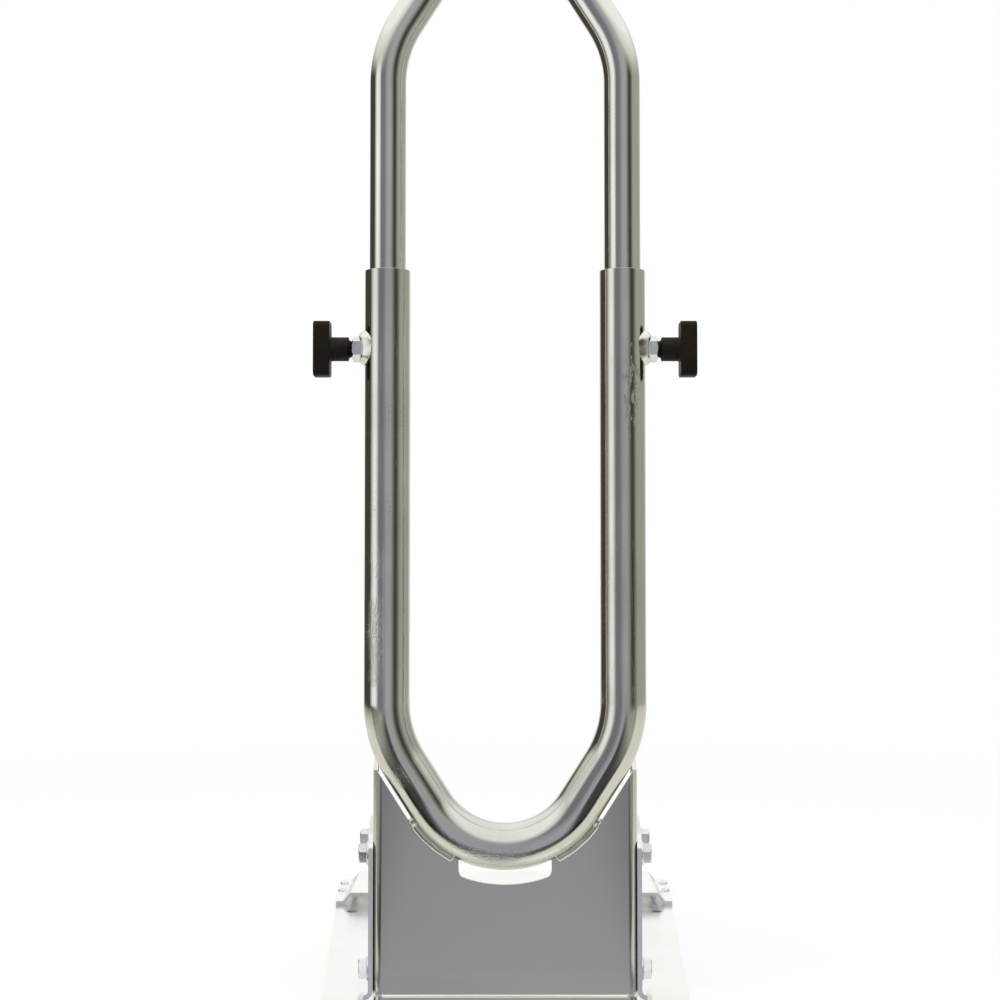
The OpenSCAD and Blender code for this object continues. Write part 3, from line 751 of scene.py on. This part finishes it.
for side in ("left", "right"):
    knob = bmesh.new()
    hub = turn(
        knob,
        [(screw_hole_r, hub_at - 1.45), (3.3, hub_at - 1.5), (4.0, hub_at - 0.2), (4.4, hub_at)]
        + round_corner(hub_r - 0.3, hub_at + 0.3, 0.3, -90, 0, 4)
        + round_corner(hub_r + 1.0, bar_low - 1.0, 1.0, 180, 90, 6)
        + [(hub_r + 1.0, bar_low + 0.4), (screw_hole_r, bar_low + 0.4)],
        Matrix.Identity(4), 96, True,
    )
    for vert in hub:
        flat_at = bar_half_w - bar_edge_r
        if vert.co.z > bar_low - 0.9 and abs(vert.co.y) > flat_at:
            vert.co.y = math.copysign(max(flat_at, min(abs(vert.co.y), hub_r)), vert.co.y)
    layers = []
    for offset, height in (
        round_corner(-bar_edge_r, bar_low + bar_edge_r, bar_edge_r, -90, 0, 3)
        + round_corner(-bar_edge_r, bar_high - bar_edge_r, bar_edge_r, 0, 90, 3)
    ):
        outline = []
        for number, (way_x, way_y) in enumerate(((1, 1), (-1, 1), (-1, -1), (1, -1))):
            outline += round_corner(
                way_x * (bar_half_len - bar_corner_r), way_y * (bar_half_w - bar_corner_r),
                bar_corner_r + offset, 90 * number, 90 * number + 90,
            )
        layers.append([knob.verts.new((x, y, height)) for x, y in outline])
    for lower, upper in zip(layers, layers[1:]):
        for number in range(len(lower)):
            knob.faces.new((lower[number - 1], lower[number], upper[number], upper[number - 1]))
    knob.faces.new(layers[-1])
    mouth = bmesh.ops.create_circle(
        knob, segments=40, radius=screw_hole_r + 0.05, matrix=Matrix.Translation((0, 0, bar_low))
    )["verts"]
    mouth_edges = list({edge for vert in mouth for edge in vert.link_edges})
    rim_edges = [
        edge for edge in knob.edges if edge.is_boundary and all(vert in layers[0] for vert in edge.verts)
    ]
    bmesh.ops.triangle_fill(knob, edges=mouth_edges + rim_edges, use_beauty=True)
    deeper = bmesh.ops.extrude_edge_only(knob, edges=mouth_edges)["geom"]
    floor_verts = [item for item in deeper if isinstance(item, bmesh.types.BMVert)]
    bmesh.ops.translate(knob, vec=(0, 0, screw_end + 0.05 - bar_low), verts=floor_verts)
    bmesh.ops.holes_fill(knob, edges=[edge for edge in knob.edges if edge.is_boundary], sides=0)
    finish_piece(
        side + "_t_knob", knob, side + "_handle", [side + "_knob"], [knob_black],
        clamp_place[side], 40,
    )


# Side bolts, washers and nuts
# Three 5 mm hexagon bolts on each side clamp the side plate to the flange, with a washer
# under each head and a nut inside. All are bright zinc with a blue cast.
bolt_places = ((11.0, 60.0), (47.0, 60.0), (11.0, 10.0))
bolt_flats = 8.0
bolt_corner_r = bolt_flats / 2 / math.cos(math.pi / 6)
bolt_r = 2.5
washer_h = 1.0
head_top = 4.5
bolt_nut_h = 4.0
bolt_tip = -2 * sheet - bolt_nut_h - 1.5
side_frame = {
    side: mirror_left[side] @ Matrix.Translation((bend_x, bend_y + hoop_y, 0))
    @ Matrix.Rotation(-splay, 4, "Z") @ Matrix.Translation((bend_out + sheet, 0, 0))
    for side in ("left", "right")
}
for side in ("left", "right"):
    bolts = bmesh.new()
    washers = bmesh.new()
    nuts = bmesh.new()
    for number, (along, height) in enumerate(bolt_places):
        twist = Matrix.Rotation(math.radians(14 + 37 * number), 4, "Z")
        outwards = Matrix.Rotation(math.pi / 2, 4, "Y")
        spot = side_frame[side] @ Matrix.Translation((0, along, height)) @ outwards @ twist
        turn(
            bolts,
            [(0, bolt_tip), (1.9, bolt_tip)]
            + thread_ridges(bolt_r, 2.1, bolt_tip + 0.3, washer_h, 0.8)
            + [(bolt_corner_r, washer_h)]
            + chamfer(bolt_corner_r, bolt_flats / 2 - 0.2, head_top - 0.75, head_top - 0.05)
            + [(3.0, head_top), (2.4, head_top - 0.2), (0, head_top - 0.2)],
            spot, 72, False, bolt_flats,
        )
        turn(
            washers,
            [(2.75, 0), (4.9, 0), (5.0, 0.15), (5.0, 0.75), (4.8, washer_h), (2.9, washer_h), (2.75, 0.85)],
            spot, 48, True,
        )
        base = -2 * sheet - bolt_nut_h
        turn(
            nuts,
            [(2.55, base + 0.4), (2.95, base)]
            + chamfer(bolt_flats / 2 - 0.2, bolt_corner_r, base, base + 0.7)
            + [(bolt_corner_r, base + bolt_nut_h), (2.95, base + bolt_nut_h),
               (2.55, base + bolt_nut_h - 0.4)],
            spot, 72, True, bolt_flats,
        )
    finish_piece(side + "_hexagon_bolts", bolts, "base", [side + "_bolts"], [fastener_zinc])
    finish_piece(side + "_flat_washers", washers, "base", [side + "_washers"], [fastener_zinc])
    finish_piece(side + "_hexagon_nuts", nuts, "base", [side + "_bolt_nuts"], [fastener_zinc])


# Floor, studio and camera
# A round white floor in a white studio. Polished metal sees a painted reflection of the studio, shown
# to glossy rays only, in four round levels: lit soft boxes, grey walls, the dim side by the camera and the
# dark gaps between them.
floor_r = 1.25
floor_middle_y = 0.1
floor_builder = bmesh.new()
bmesh.ops.create_circle(
    floor_builder, cap_ends=True, segments=128, radius=floor_r,
    matrix=Matrix.Translation((0, floor_middle_y, 0)),
)
floor_mesh = bpy.data.meshes.new("floor")
floor_builder.to_mesh(floor_mesh)
floor_builder.free()
floor = bpy.data.objects.new("floor", floor_mesh)
scene.collection.objects.link(floor)


def colour_ramp(tree, share, stops):
    """A ramp from (position, colour) stops, and its socket."""
    ramp = put(tree, "ValToRGB", {0: share})
    elements = ramp.color_ramp.elements
    elements.remove(elements[1])
    for number, (position, colour) in enumerate(stops):
        element = elements[0] if number == 0 else elements.new(position)
        element.position = position
        element.color = colour + (1.0,)
    return ramp.outputs[0]


floor_white = bpy.data.materials.new("White studio floor")
floor_white.use_nodes = True
floor_tree = floor_white.node_tree
floor_tree.nodes.clear()
floor_mesh.materials.append(floor_white)
floor_where = put(floor_tree, "TexCoord").outputs["Object"]
floor_parts = put(floor_tree, "SeparateXYZ", {0: floor_where})
floor_reach = put(floor_tree, "VectorMath", {0: floor_where}, operation="LENGTH")
floor_fade = put(
    floor_tree, "MapRange", {0: floor_reach.outputs["Value"], 1: 0.3, 2: 1.0, 3: 0.74, 4: 1.0},
    interpolation_type="SMOOTHSTEP",
)
floor_paint = put(floor_tree, "BsdfDiffuse", {"Color": (0.9, 0.9, 0.9, 1)})
floor_glow = put(floor_tree, "Emission", {"Color": (1, 1, 1, 1), "Strength": 1.0})
floor_seen = put(
    floor_tree, "MixShader", {0: floor_fade.outputs[0], 1: floor_paint.outputs[0], 2: floor_glow.outputs[0]}
)
olive = (1.0, 1.0, 0.87)
brown = (1.05, 0.95, 0.75)
lilac = (1.03, 1.0, 1.12)
neutral = (1.0, 1.0, 0.98)


def tinted_ramp(tree, share, first, last, stops):
    """A ramp over first to last, from (place, level, tint) stops."""
    return colour_ramp(tree, share, [
        ((place - first) / (last - first), tuple(level * part for part in tint))
        for place, level, tint in stops
    ])


# From here the floor gets a painted reflection, seen only by glossy rays: bands of light and dark, and a
# painted shadow in front of the stand, which the metal mirrors.
lit, grey, dim, gap = 1.0, 0.4, 0.2, 0.06
stripe_origin = 1.3
stripe_reach = 0.4
floor_aside = put(floor_tree, "Math", {0: floor_parts.outputs["X"]}, operation="ABSOLUTE")
floor_back = put(floor_tree, "Math", {0: stripe_origin, 1: floor_parts.outputs["Y"]}, operation="SUBTRACT")
floor_lean = put(
    floor_tree, "Math", {0: floor_aside.outputs[0], 1: floor_back.outputs[0]}, operation="DIVIDE"
)
floor_lean_share = put(floor_tree, "MapRange", {0: floor_lean.outputs[0], 1: 0.0, 2: stripe_reach})
painted_floor_bands = tinted_ramp(floor_tree, floor_lean_share.outputs[0], 0.0, stripe_reach, [
    (0.0, grey, lilac), (0.04, grey, lilac), (0.06, gap, neutral), (0.1, gap, neutral),
    (0.2, grey, olive), (0.4, grey, olive),
])
near_bow = 0.21
near_lean = 0.11
near_from, near_to = -0.168, -0.138
floor_depth = put(
    floor_tree, "Math", {0: floor_aside.outputs[0], 1: near_bow, 2: floor_parts.outputs["Y"]},
    operation="MULTIPLY_ADD",
)
floor_skew = put(
    floor_tree, "Math", {0: floor_parts.outputs["X"], 1: near_lean, 2: floor_depth.outputs[0]},
    operation="MULTIPLY_ADD",
)
floor_near = put(
    floor_tree, "MapRange", {0: floor_skew.outputs[0], 1: near_from, 2: near_to},
    interpolation_type="SMOOTHSTEP",
)
painted_floor_shadow_share = put(floor_tree, "MapRange", {0: floor_skew.outputs[0], 1: -0.30, 2: -0.10})
painted_floor_shadow = colour_ramp(floor_tree, painted_floor_shadow_share.outputs[0], [
    (0.0, (1.0, 1.0, 1.0)), (0.3, (0.8, 0.8, 0.8)), (0.5, (0.25, 0.25, 0.25)), (1.0, (0.25, 0.25, 0.25)),
])
floor_slant = put(floor_tree, "LayerWeight", {"Blend": 0.5}).outputs["Facing"]
floor_low = put(
    floor_tree, "MapRange", {0: floor_slant, 1: 0.42, 2: 0.60}, interpolation_type="SMOOTHSTEP"
)
floor_with_painted_shadow = put(
    floor_tree, "Mix", {0: 1.0, 6: painted_floor_bands, 7: painted_floor_shadow}, data_type="RGBA", blend_type="MULTIPLY"
)
painted_ahead_reflection = blend_colours(floor_tree, floor_low.outputs[0], floor_with_painted_shadow.outputs[2], painted_floor_bands)
floor_outside = put(
    floor_tree, "MapRange", {0: floor_aside.outputs[0], 1: 0.075, 2: 0.11}, interpolation_type="SMOOTHSTEP"
)
floor_steep = put(floor_tree, "Math", {0: 1.0, 1: floor_low.outputs[0]}, operation="SUBTRACT")
floor_bright_at = put(
    floor_tree, "Math", {0: floor_outside.outputs[0], 1: floor_steep.outputs[0]}, operation="MAXIMUM"
)
floor_bright = put(
    floor_tree, "Math", {0: floor_near.outputs[0], 1: floor_bright_at.outputs[0]}, operation="MULTIPLY"
)
painted_near_reflection = blend_colours(floor_tree, floor_bright.outputs[0], painted_ahead_reflection, (0.8, 0.8, 0.7, 1))
floor_across = put(floor_tree, "MapRange", {0: floor_parts.outputs["X"], 1: -1.1, 2: 1.1})
painted_far_reflection = colour_ramp(floor_tree, floor_across.outputs[0], [
    (0.0, (0.1, 0.1, 0.1)), (0.3, (1.0, 1.0, 1.0)), (0.7, (1.0, 1.0, 1.0)), (1.0, (0.8, 0.8, 0.8)),
])
painted_floor_reflection = put(
    floor_tree, "Mix", {0: 1.0, 6: painted_near_reflection, 7: painted_far_reflection}, data_type="RGBA", blend_type="MULTIPLY"
).outputs[2]
# Painted reflection: the floor glows with this banded pattern for glossy rays only.
painted_reflection_glow = put(floor_tree, "Emission", {"Color": painted_floor_reflection, "Strength": 1.0})
floor_path = put(floor_tree, "LightPath")
floor_lit = put(
    floor_tree, "MixShader",
    {0: floor_path.outputs["Is Camera Ray"], 1: floor_paint.outputs[0], 2: floor_seen.outputs[0]},
)
floor_all = put(
    floor_tree, "MixShader",
    {0: floor_path.outputs["Is Glossy Ray"], 1: floor_lit.outputs[0], 2: painted_reflection_glow.outputs[0]},
)
put(floor_tree, "OutputMaterial", {"Surface": floor_all.outputs[0]})

world = bpy.data.worlds.new("White studio")
scene.world = world
world.use_nodes = True
sky = world.node_tree
sky.nodes.clear()
direction = put(sky, "TexCoord").outputs["Generated"]
parts = put(sky, "SeparateXYZ", {0: direction})
nearer = put(sky, "Math", {0: parts.outputs["Y"], 1: -1.0}, operation="MULTIPLY")
azimuth = put(sky, "Math", {0: parts.outputs["X"], 1: nearer.outputs[0]}, operation="ARCTAN2")
turn_share = put(sky, "MapRange", {0: azimuth.outputs[0], 1: -math.pi, 2: math.pi, 3: 0.0, 4: 1.0})
# Painted reflection: bright and dark bands round the horizon, and a pale roof, seen by glossy rays only.
painted_wall_reflection = tinted_ramp(sky, turn_share.outputs[0], -180, 180, [
    (-180, lit, neutral), (-160, lit, neutral), (-140, gap, brown), (-90, gap, brown),
    (-70, lit, neutral), (-55, lit, neutral), (-40, dim, lilac), (-20, dim, lilac),
    (0, grey, lilac), (20, grey, neutral), (40, gap, brown), (50, gap, brown),
    (70, grey, olive), (130, grey, olive), (160, lit, neutral), (180, lit, neutral),
])
painted_roof_reflection = colour_ramp(sky, parts.outputs["Z"], [(0.40, (0.62, 0.62, 0.55)), (0.62, (1.0, 1.0, 0.97))])
roof_share = put(sky, "MapRange", {0: parts.outputs["Z"], 1: 0.30, 2: 0.46}, interpolation_type="SMOOTHSTEP")
painted_reflection = blend_colours(sky, roof_share.outputs[0], painted_wall_reflection, painted_roof_reflection)
sky_path = put(sky, "LightPath")
plain_light = (0.72, 0.72, 0.72, 1)
metal_or_not = blend_colours(sky, sky_path.outputs["Is Glossy Ray"], plain_light, painted_reflection)
with_camera = blend_colours(sky, sky_path.outputs["Is Camera Ray"], metal_or_not, (1, 1, 1, 1))
background = put(sky, "Background", {"Color": with_camera, "Strength": 1.0})
put(sky, "OutputWorld", {"Surface": background.outputs[0]})

lamps_aim = Vector((0, 0, 0.15))
for name, spot, size, power in (
    ("overhead_soft_box", (0.1, -0.2, 1.5), 1.2, 11.0),
    ("left_soft_box", (-1.1, -0.7, 0.9), 0.9, 5.0),
):
    lamp_data = bpy.data.lights.new(name, "AREA")
    lamp_data.shape = "SQUARE"
    lamp_data.size = size
    lamp_data.energy = power
    lamp = bpy.data.objects.new(name, lamp_data)
    lamp.location = spot
    lamp.rotation_euler = (lamps_aim - Vector(spot)).to_track_quat("-Z", "Y").to_euler()
    lamp.visible_glossy = False
    scene.collection.objects.link(lamp)

camera_data = bpy.data.cameras.new("photo_camera")
camera_data.lens = 58.2
camera_data.sensor_width = 36.0
camera = bpy.data.objects.new("photo_camera", camera_data)
camera.location = (-0.0022, -0.806, 0.190)
camera_tilt = 2
camera.rotation_euler = (math.radians(90 + camera_tilt), 0, 0)
scene.collection.objects.link(camera)
scene.camera = camera
scene.view_settings.view_transform = "Standard"
